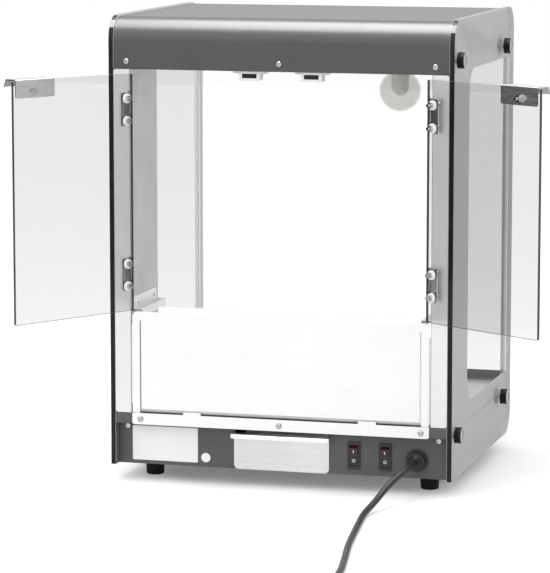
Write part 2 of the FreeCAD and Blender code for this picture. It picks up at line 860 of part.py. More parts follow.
def make_lamp():
    centre_z = fascia_z - globe_drop
    disc_z = fascia_z + sheet
    neck_top = disc_z - collar_disc - fit_gap
    outer = fused(Part.makeSphere(globe_radius, V(lamp_x, lamp_y, centre_z)),
                  rod(lamp_x, lamp_y, centre_z, ALONG_Z, neck_top - centre_z, neck_radius))
    ribs = [rod(lamp_x, lamp_y, neck_top - (k + 1) * rib_pitch, ALONG_Z, rib_height, rib_radius)
            for k in range(rib_count)]
    outer = fused(outer, *ribs)
    inner = fused(Part.makeSphere(globe_radius - globe_wall, V(lamp_x, lamp_y, centre_z)),
                  rod(lamp_x, lamp_y, centre_z, ALONG_Z, neck_top + overrun - centre_z,
                      neck_radius - globe_wall))
    globe = outer.cut(inner)
    collar = rod(lamp_x, lamp_y, disc_z - collar_height, ALONG_Z, collar_height, collar_radius)
    collar = collar.cut(rod(lamp_x, lamp_y, disc_z - collar_height - overrun, ALONG_Z,
                            collar_height - collar_disc + overrun, rib_radius + fit_gap))
    socket = rod(lamp_x, lamp_y, disc_z - collar_disc, ALONG_Z, socket_height, socket_radius)
    holder = fused(collar, socket)
    bore = rod(lamp_x, lamp_y, disc_z - collar_height, ALONG_Z, collar_height + bulb_cap_height + fit_gap,
               bulb_cap_radius + fit_gap)
    holder = holder.cut(bore)
    cap = rod(lamp_x, lamp_y, disc_z, ALONG_Z, bulb_cap_height, bulb_cap_radius)
    tube = rod(lamp_x, lamp_y, disc_z - bulb_length, ALONG_Z, bulb_length, bulb_radius)
    tip = Part.makeSphere(bulb_radius, V(lamp_x, lamp_y, disc_z - bulb_length))
    return globe, holder, fused(cap, tube, tip)


def make_heater():
    level = rim_z - heater_drop
    w, r = tray_half + heater_tray_gap, heater_bend
    heater_end = pan_front_y - heater_front_margin
    diagonal = r * (1 - math.sqrt(0.5))
    edges = [
        Part.makeLine(V(-w, heater_start, level), V(-w, heater_end - r, level)),
        Part.Arc(V(-w, heater_end - r, level), V(diagonal - w, heater_end - diagonal, level),
                 V(r - w, heater_end, level)).toShape(),
        Part.makeLine(V(r - w, heater_end, level), V(w - r, heater_end, level)),
        Part.Arc(V(w - r, heater_end, level), V(w - diagonal, heater_end - diagonal, level),
                 V(w, heater_end - r, level)).toShape(),
        Part.makeLine(V(w, heater_end - r, level), V(w, heater_start, level)),
    ]
    section = Part.Wire(Part.makeCircle(heater_radius, V(-w, heater_start, level), ALONG_Y))
    element = Part.Wire(edges).makePipeShell([section], True, False)
    saddles = []
    for y in (heater_start + saddle_insets[0], heater_end - saddle_insets[1]):
        for side in (LEFT, RIGHT):
            saddle = block(w - saddle_width / 2, w + saddle_width / 2, y, y + saddle_length,
                           level - heater_radius - sheet, rim_z)
            saddle = saddle.cut(rod(w, y - overrun, level, ALONG_Y, saddle_length + 2 * overrun,
                                    heater_radius + shaft_gap))
            saddles.append(handed(saddle, side))
    return element, saddles


def make_thermostat():
    wide, deep, thick = thermostat_flange
    thermostat_x = metal_side - thermostat_inset
    flange = block(thermostat_x - wide / 2, thermostat_x + wide / 2, thermostat_y - deep / 2,
                   thermostat_y + deep / 2, rim_z - thick, rim_z)
    can = rod(thermostat_x, thermostat_y, rim_z - thermostat_height, ALONG_Z, thermostat_height,
              thermostat_radius)
    return fused(flange, can)


def make_terminal_block():
    wide, deep, tall = terminal_size
    terminal_x = metal_side - terminal_inset
    floor_z = base_z + sheet
    body = block(terminal_x - wide / 2, terminal_x + wide / 2, terminal_y - deep / 2, terminal_y + deep / 2,
                 floor_z, floor_z + tall)
    for k in (-1, 0, 1):
        for way in (-1, 1):
            body = body.cut(rod(terminal_x + k * terminal_pitch, terminal_y + way * deep / 4,
                                floor_z + tall - terminal_hole_depth, ALONG_Z, terminal_hole_depth + overrun,
                                terminal_hole_radius))
    return body


def make_label_plate():
    label_left = label_inset - metal_side
    label_right = label_left + label_width
    return plate(on_y(panel_recess - label_thickness), (label_left, base_z + label_bottom),
                 (label_right, base_z + label_top), (label_corner,) * 4, ALONG_Y * label_thickness)


def make_round_sticker():
    sticker_x = label_inset - metal_side + label_width + sticker_gap
    return rod(sticker_x, panel_recess - label_thickness, base_z + sticker_height, ALONG_Y, label_thickness,
               sticker_radius)


def make_switch(x):
    z = base_z + switch_height
    front = panel_recess - bezel_thickness
    bezel = plate(on_y(front), (x - bezel_width / 2, z - bezel_height / 2),
                  (x + bezel_width / 2, z + bezel_height / 2),
                  (bezel_round,) * 4, ALONG_Y * bezel_thickness)
    body = block(x - switch_body_width / 2, x + switch_body_width / 2, panel_recess,
                 front + switch_body_depth, z - switch_body_height / 2, z + switch_body_height / 2)
    housing = fused(bezel, body)
    pocket = block(x - pocket_width / 2, x + pocket_width / 2, front - overrun, front + pocket_depth,
                   z - pocket_height / 2, z + pocket_height / 2)
    housing = housing.cut(pocket)
    pivot = front + rocker_pivot_depth
    drum = rod(x - rocker_width / 2, pivot, z, ALONG_X, rocker_width, rocker_radius)
    crest = rocker_centre_rise + rocker_radius * math.tan(math.radians(rocker_tilt))
    points = ((pivot - rocker_centre_rise, z), (pivot - crest, z + rocker_radius),
              (pivot + rocker_back, z + rocker_radius),
              (pivot + rocker_back, z - rocker_radius), (pivot - crest, z - rocker_radius))
    rocker = drum.common(prism(on_x(x - rocker_width / 2), points, ALONG_X * rocker_width))
    rocker.rotate(V(x, pivot, z), ALONG_X, rocker_tilt)
    return housing, rocker


def make_gland():
    z = base_z + gland_height
    flange_y = panel_recess - gland_flange_depth
    nut_y = flange_y - gland_nut_depth
    flange = rounded(rod(gland_x, flange_y, z, ALONG_Y, gland_flange_depth, gland_flange_radius), bend_radius,
                     at_level("y", flange_y))
    nut = rod(gland_x, nut_y, z, ALONG_Y, gland_nut_depth, gland_nut_radius)
    for k in range(gland_rib_count):
        angle = 2 * math.pi * k / gland_rib_count
        nut = nut.cut(rod(gland_x + gland_nut_radius * math.cos(angle), nut_y - overrun,
                          z + gland_nut_radius * math.sin(angle), ALONG_Y, gland_nut_depth + overrun,
                          gland_rib_radius))
    nose = Part.makeCone(gland_mouth_radius, gland_nose_radius, nut_y, V(gland_x, 0, z), ALONG_Y)
    thread = rod(gland_x, panel_recess - sheet, z, ALONG_Y, gland_thread_length + sheet, gland_thread_radius)
    gland = fused(flange, nut, nose, thread)
    inside = panel_recess + sheet
    locknut = hexagon(gland_x, inside, z, ALONG_Y, locknut_height, locknut_radius)
    locknut = locknut.cut(rod(gland_x, inside - overrun, z, ALONG_Y, locknut_height + 2 * overrun,
                              gland_thread_radius + shaft_gap))
    return gland, locknut


def make_knob(y, z):
    face = half_width
    washer = rod(face, y, z, ALONG_X, knob_washer_thickness, knob_radius)
    washer = washer.cut(rod(face - overrun, y, z, ALONG_X, knob_washer_thickness + 2 * overrun,
                            stud_radius + shaft_gap))
    neck_x = face + knob_washer_thickness
    head_x = neck_x + knob_neck_length
    neck = rod(neck_x, y, z, ALONG_X, knob_neck_length, knob_neck_radius)
    head = rod(head_x, y, z, ALONG_X, knob_length, knob_radius)
    head = rounded(head, knob_round,
                   lambda edge: at_level("x", head_x)(edge) or at_level("x", head_x + knob_length)(edge))
    head = head.cut(rod(head_x + knob_length - knob_recess_depth, y, z, ALONG_X, overrun, knob_recess_radius))
    stud = rod(neck_x - stud_length, y, z, ALONG_X, stud_length, stud_radius)
    inside = metal_side - sheet
    nut = hexagon(inside - stud_nut_height, y, z, ALONG_X, stud_nut_height, stud_nut_radius)
    nut = nut.cut(rod(inside - stud_nut_height - overrun, y, z, ALONG_X, stud_nut_height + 2 * overrun,
                      stud_radius + shaft_gap))
    return washer, fused(head, neck, stud), nut


def make_foot(x, y):
    foot = Part.makeCone(foot_bottom_radius, foot_top_radius, foot_height, V(x, y, 0), ALONG_Z)
    foot = rounded(foot, foot_round, at_level("z", 0))
    foot = foot.cut(rod(x, y, -overrun, ALONG_Z, foot_bore_depth + overrun, foot_bore_radius))
    foot = foot.cut(rod(x, y, 0, ALONG_Z, foot_height + overrun, foot_screw_radius + shaft_gap))
    bolt = screw((x, y, foot_bore_depth), ALONG_Z, 2 * foot_screw_radius, foot_screw_radius,
                 foot_screw_radius, foot_screw_grip)
    return foot, bolt


# Hinges and doors are drawn for the right-hand side with the door closed
def make_fixed_leaves():
    leaves, pins, bolts = [], [], []
    for z in hinge_levels:
        near = hinge_x + knuckle_radius + leaf_clearance
        leaf = block(near, hinge_x + fixed_leaf_width, -leaf_thickness, 0, z - leaf_height / 2,
                     z + leaf_height / 2)
        half = knuckle_length / 2
        link = block(hinge_x, near + leaf_thickness, -leaf_thickness, 0, z - half, z + half)
        barrel = rod(hinge_x, hinge_y, z - half, ALONG_Z, knuckle_length, knuckle_radius)
        leaf = fused(leaf, link, barrel)
        leaf = leaf.cut(rod(hinge_x, hinge_y, z - leaf_height, ALONG_Z, 2 * leaf_height,
                            pin_radius + shaft_gap))
        places = [(hinge_x + fixed_screw_place, -leaf_thickness,
                   z + way * hinge_screw_spacing / 2) for way in (-1, 1)]
        leaves.append(drilled(leaf, places, ALONG_Y, small_radius + shaft_gap))
        bolts += [small_screw(place, ALONG_Y) for place in places]
        pin = rod(hinge_x, hinge_y, z - leaf_height / 2 - fit_gap, ALONG_Z, leaf_height + 2 * fit_gap,
                  pin_radius)
        cap = rod(hinge_x, hinge_y, z + leaf_height / 2 + fit_gap, ALONG_Z, pin_head_height, pin_head_radius)
        pins.append(fused(pin, cap))
    return leaves, pins, bolts


def make_door_leaves():
    leaves = []
    for z in hinge_levels:
        near = hinge_x - knuckle_radius - leaf_clearance
        leaf = block(hinge_x - door_leaf_width, near, -leaf_thickness, 0, z - leaf_height / 2,
                     z + leaf_height / 2)
        pieces = []
        for way in (-1, 1):
            inner = knuckle_length / 2 + fit_gap
            outer = leaf_height / 2
            low, high = (z + inner, z + outer) if way > 0 else (z - outer, z - inner)
            pieces.append(block(near - leaf_thickness, hinge_x, -leaf_thickness, 0, low, high))
            pieces.append(rod(hinge_x, hinge_y, low, ALONG_Z, high - low, knuckle_radius))
        leaf = fused(leaf, *pieces)
        leaf = leaf.cut(rod(hinge_x, hinge_y, z - leaf_height, ALONG_Z, 2 * leaf_height,
                            pin_radius + shaft_gap))
        places = [(hinge_x - door_screw_place, -leaf_thickness,
                   z + way * hinge_screw_spacing / 2) for way in (-1, 1)]
        leaves.append(drilled(leaf, places, ALONG_Y, door_screw_radius + shaft_gap))
    return leaves


free_edge_x = door_middle_gap
handle_screw_x = free_edge_x + handle_edge_gap + handle_screw_place
handle_screw_z = door_top - handle_screw_drop
door_screw_x = hinge_x - door_screw_place


def make_door_glass():
    glass = plate(on_y(0), (free_edge_x, door_low), (hinge_x - door_hinge_gap, door_top),
                  (door_corner_radius,) * 4, ALONG_Y * door_thickness)
    places = [(door_screw_x, 0, z) for z in screw_levels] + [(handle_screw_x, 0, handle_screw_z)]
    return drilled(glass, places, ALONG_Y, door_glass_hole_radius)


def make_door_handle():
    inner = door_thickness + handle_sheet
    top = door_top + fit_gap + handle_sheet
    outer = -handle_reach
    bottom = door_top - handle_plate_height
    path = ((inner, bottom), (inner, top), (outer, top), (outer - handle_flare, top - handle_lip))
    handle = folded_sheet(on_x(free_edge_x + handle_edge_gap), path, handle_sheet, 1,
                          (handle_crease, handle_bend), ALONG_X * handle_length)
    handle = rounded(handle, handle_corner_radius,
                     lambda edge: at_level("z", bottom)(edge) and edge.Length < 2 * handle_sheet)
    return drilled(handle, [(handle_screw_x, door_thickness, handle_screw_z)], ALONG_Y,
                   door_screw_radius + shaft_gap)


def bored(piece, x, y, z):
    return drilled(piece, [(x, y, z), (x, y + overrun, z)], ALONG_Y, door_screw_radius + shaft_gap)


def bored_washer(x, y, z):
    ring = rod(x, y, z, ALONG_Y, washer_thickness, washer_radius)
    return bored(rounded(ring, washer_round, at_level("y", y + washer_thickness)), x, y, z)


def make_door_fixings():
    washers, bolts = [], []
    grip = leaf_thickness + door_thickness + washer_thickness + nut_height + door_screw_tail
    for z in screw_levels:
        washers.append(bored_washer(door_screw_x, door_thickness, z))
        bolts.append(screw((door_screw_x, -leaf_thickness, z), ALONG_Y, door_screw_head_radius,
                           door_screw_head_height, door_screw_radius, grip))
        nut_y = door_thickness + washer_thickness
        bolts.append(bored(hexagon(door_screw_x, nut_y, z, ALONG_Y, nut_height, nut_radius), door_screw_x,
                           nut_y, z))
    place = (handle_screw_x, door_thickness + handle_sheet, handle_screw_z)
    grip = place[1] + handle_washer_thickness + handle_nut_height + handle_screw_tail
    bolts.append(screw((handle_screw_x, 0, handle_screw_z), ALONG_Y, door_screw_head_radius,
                       door_screw_head_height, door_screw_radius, grip))
    bolts.append(bored(rod(*place, ALONG_Y, handle_washer_thickness, handle_washer_radius), *place))
    place = (place[0], place[1] + handle_washer_thickness, place[2])
    bolts.append(bored(hexagon(*place, ALONG_Y, handle_nut_height, handle_nut_radius), *place))
    return washers, bolts


def opened(shape, side):
    shape = handed(shape, side).copy()
    angle = -left_door_angle if side == LEFT else right_door_angle
    shape.rotate(V(side * hinge_x, hinge_y, 0), ALONG_Z, angle)
    return shape


def unit(a, b):
    step = b - a
    return step / step.Length


def corner_arc(corner, start, end):
    """arc that touches both legs of a corner, each leg as long as the other"""
    u, v = unit(corner, start), unit(corner, end)
    leg = (start - corner).Length
    half = u.getAngle(v) / 2
    bisector = (u + v) / (u + v).Length
    centre = corner + bisector * (leg / math.cos(half))
    radius = leg * math.tan(half)
    return Part.Arc(start, centre - bisector * radius, end).toShape(), radius


def make_cord():
    points = [V(*p) for p in cord_points]
    edges, radii, here = [], [], points[0]
    for before, corner, after in zip(points, points[1:], points[2:]):
        turn = unit(before, corner).getAngle(unit(corner, after))
        shorter = min((corner - before).Length, (after - corner).Length)
        reach = corner_share * shorter
        start = corner + unit(corner, before) * reach
        end = corner + unit(corner, after) * reach
        edges.append(Part.makeLine(here, start))
        arc, radius = corner_arc(corner, start, end)
        edges.append(arc)
        radii.append(radius)
        here = end
    edges.append(Part.makeLine(here, points[-1]))
    path = Part.Wire(edges)
    section = Part.Wire(Part.makeCircle(cord_radius, points[0], unit(points[0], points[1])))
    tube = path.makePipeShell([section], True, False)
    ideal = math.pi * cord_radius ** 2 * path.Length
    print("cord length %.1f, arc radii %s" % (path.Length, " ".join("%.0f" % r for r in radii)))
    print("cord volume against section times length %.4f" % (tube.Volume / ideal))
    return tube


def lifted_turn(start, heading, end, leaving):
    """two arcs from one point and heading to another, in any plane"""
    chord = end - start
    both = heading + leaving
    spare = 4 - both.dot(both)
    pull = chord.dot(both)
    size = chord.dot(chord)
    reach = size / (pull + math.sqrt(pull * pull + spare * size))
    first, second = start + heading * reach, end - leaving * reach
    middle = (first + second) / 2
    return [corner_arc(first, start, middle)[0], corner_arc(second, middle, end)[0]]


def make_coil():
    """a flat spiral of half turns going in, one half turn that climbs, and a spiral going out on top"""
    start = V(*cord_points[-1])
    step = (2 * cord_radius + coil_gap) / 2
    rise = V(0, 0, 2 * cord_radius + coil_gap)
    straight = 2 * cord_radius
    here = start - ALONG_Y * straight
    edges = [Part.makeLine(start, here)]
    radius, way = coil_outer_radius, 1
    for turn in range(2 * coil_layer_half_turns):
        end = here + ALONG_X * (2 * radius * way)
        if turn == coil_layer_half_turns:
            edges += lifted_turn(here, -ALONG_Y * way, end + rise, ALONG_Y * way)
            end = end + rise
        else:
            middle = (here + end) / 2 - ALONG_Y * (radius * way)
            edges.append(Part.Arc(here, middle, end).toShape())
        here = end
        way = -way
        radius += -step if turn < coil_layer_half_turns else step
    corner = here - ALONG_Y * radius
    edges.append(corner_arc(corner, here, corner + ALONG_X * radius)[0])
    here = corner + ALONG_X * radius
    end = V(here.x + tail_length, here.y, plug_radius)
    edges += lifted_turn(here, ALONG_X, end, ALONG_X)
    edges.append(Part.makeLine(end, end + ALONG_X * straight))
    path = Part.Wire(edges)
    section = Part.Wire(Part.makeCircle(cord_radius, start, ALONG_Y))
    tube = path.makePipeShell([section], True, False)
    ideal = math.pi * cord_radius ** 2 * path.Length
    spacing = cord_radius / 2
    marks = path.discretize(Distance=spacing)
    apart = int(math.pi * cord_radius * 2 / spacing)
    least = min((marks[i] - marks[j]).Length for i in range(len(marks)) for j in range(i + apart, len(marks)))
    print("coil length %.1f, volume ratio %.4f, least gap to itself %.2f"
          % (path.Length, tube.Volume / ideal, least - 2 * cord_radius))
    return tube, end + ALONG_X * straight


def make_plug(start):
    relief = Part.makeCone(relief_small_radius, relief_large_radius, relief_length, start, ALONG_X)
    body_start = start + ALONG_X * relief_length
    neck = Part.makeCone(plug_neck_radius, plug_radius, plug_length / 3, body_start, ALONG_X)
    body = Part.makeCylinder(plug_radius, plug_length * 2 / 3, body_start + ALONG_X * (plug_length / 3),
                             ALONG_X)
    face_x = body_start.x + plug_length
    body = rounded(body, plug_round, at_level("x", face_x))
    pins = []
    for way in (-1, 1):
        pins.append(rod(face_x - plug_round, start.y + way * plug_pin_spacing / 2, start.z, ALONG_X,
                        plug_pin_length + plug_round, plug_pin_radius))
    return fused(body, neck, relief, *pins)


glass = make_side_glass()
film = make_side_print()
post = make_rear_post()
ledge = make_side_ledge()
strip = make_front_strip()
for name, side in (("left", LEFT), ("right", RIGHT)):
    save(name + "_side_glass", handed(glass, side))
    save(name + "_side_print", handed(film, side))
    save(name + "_rear_post", handed(post, side))
    save(name + "_side_ledge", handed(ledge, side))
save("front_glass_strips", strip, mirrored(strip))
save("top_cover", make_top_cover())
save("roof_liner", make_roof_liner())
save("front_glass", make_front_glass())
save("base_pan", make_base_pan())
save("base_panel", make_base_panel())
save("front_skirt", make_front_skirt())
save("deck_plate", make_deck_plate())
save("sill_strip", make_sill_strip())
save("gate_panel", make_gate_panel())
save("tray_front", make_tray_front())
save("crumb_tray", make_crumb_tray())

catches = [make_magnet_catch(side) for side in (LEFT, RIGHT)]
save("magnet_catches", catches[0][0], catches[1][0])
save("catch_magnets", catches[0][1], catches[1][1])

globe, holder, bulb = make_lamp()
save("lamp_globe", globe)
save("lamp_holder", holder)
save("lamp_bulb", bulb)
element, saddles = make_heater()
save("heating_element", element)
save("heater_saddles", *saddles)
save("thermostat", make_thermostat())
save("terminal_block", make_terminal_block())
save("label_plate", make_label_plate())
save("round_sticker", make_round_sticker())

for name, inset in switch_insets.items():
    housing, rocker = make_switch(metal_side - inset)
    save(name + "_switch_body", housing)
    save(name + "_rocker", rocker)

gland, locknut = make_gland()
save("cord_gland", gland)
save("gland_locknut", locknut)

knob_sets = [make_knob(y, z) for y, z in knob_places]
save("knob_washers", *[washer for washer, knob, nut in knob_sets])
save("thumb_knobs", *[knob for washer, knob, nut in knob_sets])
save("stud_nuts", *[handed(nut, side) for washer, knob, nut in knob_sets for side in (LEFT, RIGHT)])

foot_sets = [make_foot(x, y) for x, y in feet_places]
save("feet", *[foot for foot, bolt in foot_sets])
save("foot_screws", *[bolt for foot, bolt in foot_sets])

outside = [pan_screw(place, ALONG_Y) for place in cover_screws + panel_screws]
outside += [pan_screw((x, -sill_thickness, z), ALONG_Y) for x, y, z in sill_screws]
outside += [screw((-half_width, y, z), ALONG_X, glass_screw_head_radius, glass_screw_head_height, stud_radius,
                  stud_length - knob_washer_thickness) for y, z in knob_places]
save("panel_screws", *outside)
ledge_bolts = [small_screw((x - thin_sheet, y, z), ALONG_X) for x, y, z in ledge_screws]
catch_bolts = [screw((x, y, fascia_z - catch_ear_thickness), ALONG_Z, small_head_radius, small_head_height,
                     small_radius, catch_screw_length) for x, y in catch_screws]

fixed_leaves, pins, leaf_bolts = make_fixed_leaves()
save("hinge_leaves", *[handed(leaf, side) for leaf in fixed_leaves for side in (LEFT, RIGHT)])
save("hinge_pins", *[handed(pin, side) for pin in pins for side in (LEFT, RIGHT)])
side_bolts = [handed(bolt, side) for bolt in leaf_bolts + ledge_bolts for side in (LEFT, RIGHT)]
save("small_screws", *side_bolts, *catch_bolts)

door_glass = make_door_glass()
door_leaves = make_door_leaves()
door_handle = make_door_handle()
washers, bolts = make_door_fixings()
for name, side in (("left", LEFT), ("right", RIGHT)):
    save(name + "_door_glass", opened(door_glass, side))
    save(name + "_door_leaves", *[opened(leaf, side) for leaf in door_leaves])
    save(name + "_door_handle", opened(door_handle, side))
    save(name + "_door_washers", *[opened(ring, side) for ring in washers])
    save(name + "_door_screws", *[opened(bolt, side) for bolt in bolts])

save("cord", make_cord())
coil, coil_end = make_coil()
save("cord_coil", coil)
save("plug", make_plug(coil_end))
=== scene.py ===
"""Chip warmer: the finishes, cord, switch marks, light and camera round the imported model."""
import json
import math

import bpy
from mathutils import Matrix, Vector


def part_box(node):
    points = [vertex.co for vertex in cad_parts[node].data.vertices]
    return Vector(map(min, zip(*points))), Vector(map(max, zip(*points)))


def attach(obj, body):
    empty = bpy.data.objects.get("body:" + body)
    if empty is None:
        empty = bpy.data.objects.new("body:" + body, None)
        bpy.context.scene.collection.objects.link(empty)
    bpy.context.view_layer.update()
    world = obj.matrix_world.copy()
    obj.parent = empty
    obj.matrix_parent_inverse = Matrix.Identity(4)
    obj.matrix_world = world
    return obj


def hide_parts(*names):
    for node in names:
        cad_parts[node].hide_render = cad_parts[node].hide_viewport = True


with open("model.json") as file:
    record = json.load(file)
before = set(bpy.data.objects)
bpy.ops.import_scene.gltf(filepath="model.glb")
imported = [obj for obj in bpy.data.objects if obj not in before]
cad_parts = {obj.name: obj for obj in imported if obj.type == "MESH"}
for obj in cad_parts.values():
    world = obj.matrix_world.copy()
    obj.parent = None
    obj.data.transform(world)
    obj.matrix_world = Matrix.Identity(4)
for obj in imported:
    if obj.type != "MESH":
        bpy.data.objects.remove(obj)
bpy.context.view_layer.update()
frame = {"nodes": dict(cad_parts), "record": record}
nodes = frame["nodes"]
MM = 0.001

# The photograph's longer side in pixels, and the camera that was solved for it: its focal length
# in those pixels, the sensor in mm, the place in metres, and the angles in degrees
PHOTO_HEIGHT = 573
FOCAL_PIXELS = 3151.1
SENSOR = 36.0
CAMERA_AT = (1.0294, -3.9042, 0.8059)
CAMERA_YAW = 15.533
CAMERA_PITCH = 8.101
CAMERA_REACH = 40

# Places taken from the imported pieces
glass_low, glass_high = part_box("right_side_glass")
SERVICE_FACE = glass_low.y
CABINET_SIDE = glass_high.x
CABINET_TOP = glass_high.z
pivots = {joint["child"]: joint.get("pos_m") for joint in frame["record"]["behaviour"]["joints"]}
BASE_RECESS = 15 * MM

# A face counts as square on to a direction when its normal's share along it is above this
SQUARE_ON = 0.7

# Cord: its free stretch is the same list of points as in the part, in mm from the service edge,
# and so are the coil's measures
CORD_RADIUS = 4.0 * MM
CORD_POINTS = (
    (173.5, 0.0, 43.5), (172.8, -24.0, 42.8), (166.0, -46.0, 37.0), (155.5, -68.0, 26.5),
    (145.5, -96.0, 10.5), (141.0, -130.0, 4.0), (148.0, -180.0, 4.0), (155.5, -235.0, 4.0),
    (165.0, -300.0, 4.0), (179.0, -372.0, 4.0), (190.5, -438.0, 4.0), (190.0, -497.0, 4.0),
    (190.0, -528.0, 4.0),
)
COIL_RADIUS = 54.0
COIL_GAP = 0.6
COIL_HALF_TURNS = 4
COIL_POINTS_PER_HALF = 8
TAIL_LENGTH = 48.0
PLUG_AXIS = 18.5

# Rocker marks, in mm: the middle of each half of a rocker from its pivot (y and z), the tilt in
# degrees of its upper half from upright, and the sizes of the dash and the ring
UPPER_HALF = (-5.803, 5.577)
LOWER_HALF = (-3.545, -6.3)
UPPER_TILT = 20
MARK_PROUD = 0.1 * MM
DASH_HALF = (0.55 * MM, 2.0 * MM)
RING_OUTER = 2.1 * MM
RING_INNER = 1.3 * MM
RING_SIDES = 32


def srgb(text):
    """a hex colour as the linear colour that the shaders take"""
    parts = [int(text[i:i + 2], 16) / 255 for i in (0, 2, 4)]
    return tuple(c / 12.92 if c <= 0.04045 else ((c + 0.055) / 1.055) ** 2.4 for c in parts) + (1.0,)


def add(tree, kind, settings=None, values=None, links=None):
    """one node with its settings, socket values and incoming links"""
    made = tree.nodes.new(kind)
    for key, value in (settings or {}).items():
        setattr(made, key, value)
    for key, value in (values or {}).items():
        made.inputs[key].default_value = value
    for key, source in (links or {}).items():
        tree.links.new(source, made.inputs[key])
    return made


def new_material(name, build):
    """a material whose surface is the shader that build makes in its node tree"""
    made = bpy.data.materials.new(name)
    made.use_nodes = True
    tree = made.node_tree
    tree.nodes.clear()
    add(tree, "ShaderNodeOutputMaterial", links={"Surface": build(tree).outputs[0]})
    return made


def grain(tree, size, stretch=(1, 1, 1), detail=3.0):
    """noise whose cells are a real size across, drawn out along any axis by its stretch"""
    place = add(tree, "ShaderNodeTexCoord")
    scaled = add(tree, "ShaderNodeMapping", values={"Scale": [1 / s for s in stretch]},
                 links={"Vector": place.outputs["Object"]})
    return add(tree, "ShaderNodeTexNoise", values={"Scale": 1 / size, "Detail": detail, "Roughness": 0.6},
               links={"Vector": scaled.outputs["Vector"]}).outputs["Fac"]


def between(tree, source, low, high):
    """the middle of a noise's range spread between two numbers or two hex colours"""
    coloured = isinstance(low, str)
    ends = (0, 1) if coloured else (low, high)
    level = add(tree, "ShaderNodeMapRange", links={"Value": source},
                values={"From Min": 0.3, "From Max": 0.7, "To Min": ends[0], "To Max": ends[1]})
    if not coloured:
        return level.outputs["Result"]
    return add(tree, "ShaderNodeMix", {"data_type": "RGBA"}, {6: srgb(low), 7: srgb(high)},
               {0: level.outputs["Result"]}).outputs[2]


def surface(tree, hue, skin, colours, roughness, values=None, relief=None):
    """a skin whose colour wanders with one noise, and whose roughness and relief follow another;
    the relief is a depth and a strength"""
    links = {"Base Color": between(tree, hue, *colours), "Roughness": between(tree, skin, *roughness)}
    if relief:
        bump = add(tree, "ShaderNodeBump", values={"Distance": relief[0], "Strength": relief[1]},
                   links={"Height": skin})
        links["Normal"] = bump.outputs["Normal"]
    return add(tree, "ShaderNodeBsdfPrincipled", values=values, links=links)


def brushed(name, dark, light, along, rough=0.32, pitch=0.9 * MM):
    """stainless sheet brushed one way: fine streaks along one axis that widen its highlights.
    The real scratches are about 0.1 mm apart, drawn coarser so that they show."""
    streak_length = 60.0
    stretch = [streak_length if axis in along else 1.0 for axis in "xyz"]

    def build(tree):
        lines = grain(tree, pitch, stretch, 4.0)
        clouds = grain(tree, 60 * MM)
        faint = add(tree, "ShaderNodeMath", {"operation": "MULTIPLY"}, {1: 0.45}, {0: clouds})
        look = add(tree, "ShaderNodeMath", {"operation": "MULTIPLY_ADD"}, {1: 0.55},
                   {0: lines, 2: faint.outputs[0]})
        return surface(tree, look.outputs[0], lines, (dark, light), (rough - 0.06, rough + 0.06),
                       {"Metallic": 1.0}, (0.02 * MM, 0.25))

    return new_material(name, build)


def coated(name, dark, light, rough, skin=1.2 * MM, depth=0.012 * MM, level=0.5, ior=1.5):
    """sprayed or moulded skin: a little uneven in colour, with a fine orange-peel surface"""
    def build(tree):
        return surface(tree, grain(tree, 45 * MM), grain(tree, skin), (dark, light),
                       (rough - 0.05, rough + 0.05), {"Specular IOR Level": level, "IOR": ior}, (depth, 0.5))

    return new_material(name, build)


def plated(name, dark, light, rough):
    """bright plated steel, with the faint patches of a barrel-plated screw"""
    def build(tree):
        patches = grain(tree, 1.5 * MM)
        return surface(tree, patches, patches, (dark, light), (rough - 0.05, rough + 0.08), {"Metallic": 1.0})

    return new_material(name, build)


def pane(name, tint, gloss):
    """clear toughened glass: each face tints what is behind it, and from outside it also mirrors
    the room at a low angle"""
    def build(tree):
        facing = add(tree, "ShaderNodeFresnel", values={"IOR": 1.45})
        side = add(tree, "ShaderNodeNewGeometry")
        outward = add(tree, "ShaderNodeMath", {"operation": "SUBTRACT"}, {0: 1.0},
                      {1: side.outputs["Backfacing"]})
        share = add(tree, "ShaderNodeMath", {"operation": "MULTIPLY"},
                    links={0: facing.outputs[0], 1: outward.outputs[0]})
        share = add(tree, "ShaderNodeMath", {"operation": "MULTIPLY"}, {1: gloss}, {0: share.outputs[0]})
        smears = grain(tree, 35 * MM)
        clear = add(tree, "ShaderNodeBsdfTransparent", values={"Color": srgb(tint)})
        mirror = add(tree, "ShaderNodeBsdfGlossy", links={"Roughness": between(tree, smears, 0.01, 0.05)})
        return add(tree, "ShaderNodeMixShader",
                   links={0: share.outputs[0], 1: clear.outputs[0], 2: mirror.outputs[0]})

    return new_material(name, build)


def frosted(name, dark, light, clearness):
    """acid-frosted opal glass or clear moulding: milky, lets light through, with a soft sheen"""
    def build(tree):
        mist = grain(tree, 9 * MM)
        skin = surface(tree, mist, mist, (dark, light), (0.34, 0.44),
                       {"Coat Weight": 0.35, "Coat Roughness": 0.08})
        glow = add(tree, "ShaderNodeBsdfTranslucent", values={"Color": srgb(light)})
        body = add(tree, "ShaderNodeMixShader", values={0: 0.5},
                   links={1: skin.outputs[0], 2: glow.outputs[0]})
        clear = add(tree, "ShaderNodeBsdfTransparent", values={"Color": srgb("F4F4F2")})
        return add(tree, "ShaderNodeMixShader", values={0: clearness},
                   links={1: body.outputs[0], 2: clear.outputs[0]})

    return new_material(name, build)


